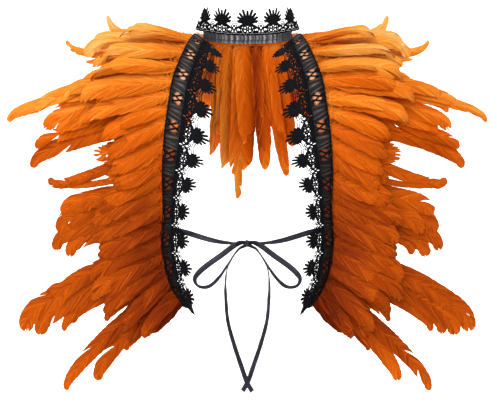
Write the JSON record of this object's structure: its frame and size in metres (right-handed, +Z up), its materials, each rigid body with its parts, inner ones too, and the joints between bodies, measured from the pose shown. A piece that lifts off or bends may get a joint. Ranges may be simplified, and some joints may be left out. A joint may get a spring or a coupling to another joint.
{
  "type": "feather cape",
  "caption": "Feather cape with a standing lace collar, two long lace-edged front bands with feathers sewn along them, and a ribbon bow tie",
  "frame": {"origin": "centre of the neck opening, level with the lower edge of the neck tape, where the wearer's neck and shoulders hold the cape", "axes": "+X to the wearer's left, across the cape and its longest extent; +Y to the wearer's back; +Z up, the way the neck rises through the collar"},
  "size_m": [0.6408, 0.2551, 0.5326],
  "materials": {
    "gathered_satin": "gathered grey satin tape",
    "black_lace": "matt black corded lace",
    "gathered_band": "gathered black ribbon lace",
    "orange_feather": "dyed feather, soft sheen along the barbs",
    "burnt_feather": "dyed feather, soft sheen along the barbs",
    "golden_feather": "dyed feather, soft sheen along the barbs",
    "satin_ribbon": "smooth dark satin ribbon"
  },
  "bodies": {
    "root": {"neck_tape": "gathered_satin", "collar_lace": "black_lace", "front_band_right": "gathered_band", "front_band_left": "gathered_band", "front_lace_right": "black_lace", "front_lace_left": "black_lace", "feathers_front_over_right": "orange_feather", "feathers_front_over_left": "orange_feather", "feathers_front_under_right": "burnt_feather", "feathers_front_under_left": "burnt_feather", "feathers_neck_upper": "golden_feather", "feathers_neck_lower": "orange_feather", "ribbon_knot": "satin_ribbon", "ribbon_strand_right": "satin_ribbon", "ribbon_strand_left": "satin_ribbon", "ribbon_loop_right": "satin_ribbon", "ribbon_loop_left": "satin_ribbon", "ribbon_tail_right": "satin_ribbon", "ribbon_tail_left": "satin_ribbon"}
  },
  "joints": []
}
